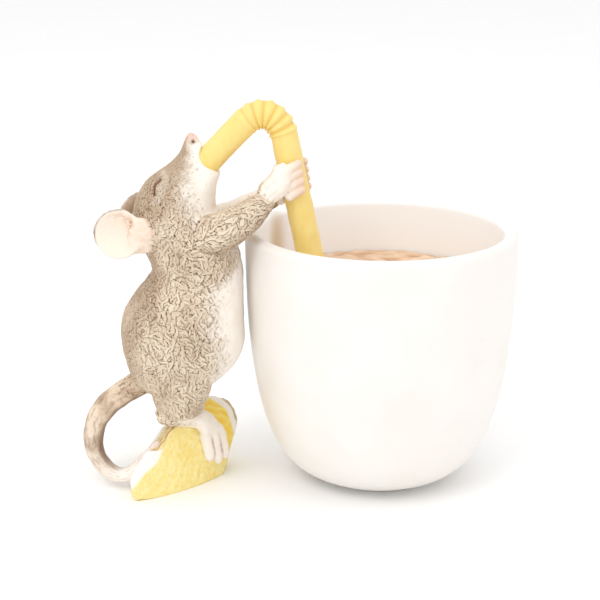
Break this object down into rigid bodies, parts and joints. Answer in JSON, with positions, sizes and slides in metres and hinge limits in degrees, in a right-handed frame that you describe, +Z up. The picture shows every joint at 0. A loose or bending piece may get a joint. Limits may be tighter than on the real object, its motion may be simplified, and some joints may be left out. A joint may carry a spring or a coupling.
{
  "type": "mouse and cup ornament",
  "caption": "Hand-painted resin mouse standing on a lemon wedge and drinking from a handle-less white cup through a bendy straw; the figure lifts out of the cup.",
  "frame": {"origin": "centre of the cup's flat foot, on the table", "axes": "+X from the mouse towards the cup, +Y to the mouse's left, +Z up"},
  "size_m": [0.1332, 0.0828, 0.1197],
  "materials": {
    "porcelain": "smooth satin white",
    "drink": "bumpy satin brown cast resin",
    "fur": "carved fur, cream ridges over a dark brown wash",
    "ear_skin": "matt cream with a pink-brown wash",
    "paw_skin": "matt white with a pink wash",
    "tail_skin": "matt tan with a brown wash",
    "straw_yellow": "satin lemon yellow",
    "lemon": "pitted pale yellow with white pith and golden pulp",
    "steel": "plain bright wire"
  },
  "bodies": {
    "cup": {"cup": "porcelain", "drink": "drink"},
    "figure": {"torso": "fur", "head": "fur", "right_ear": "ear_skin", "left_ear": "ear_skin", "right_arm": "fur", "left_arm": "fur", "right_paw": "paw_skin", "left_paw": "paw_skin", "right_leg": "fur", "left_leg": "fur", "right_foot": "paw_skin", "left_foot": "paw_skin", "tail": "tail_skin", "straw": "straw_yellow", "lemon_wedge": "lemon", "neck_pin": "steel", "right_shoulder_pin": "steel", "left_shoulder_pin": "steel", "tail_pin": "steel", "right_leg_pin": "steel", "left_leg_pin": "steel"}
  },
  "joints": [
    {"name": "figure_lift", "type": "slide", "parent": "cup", "child": "figure", "axis": [-0.2071, 0, 0.9783], "range_m": [0, 0.028]}
  ]
}
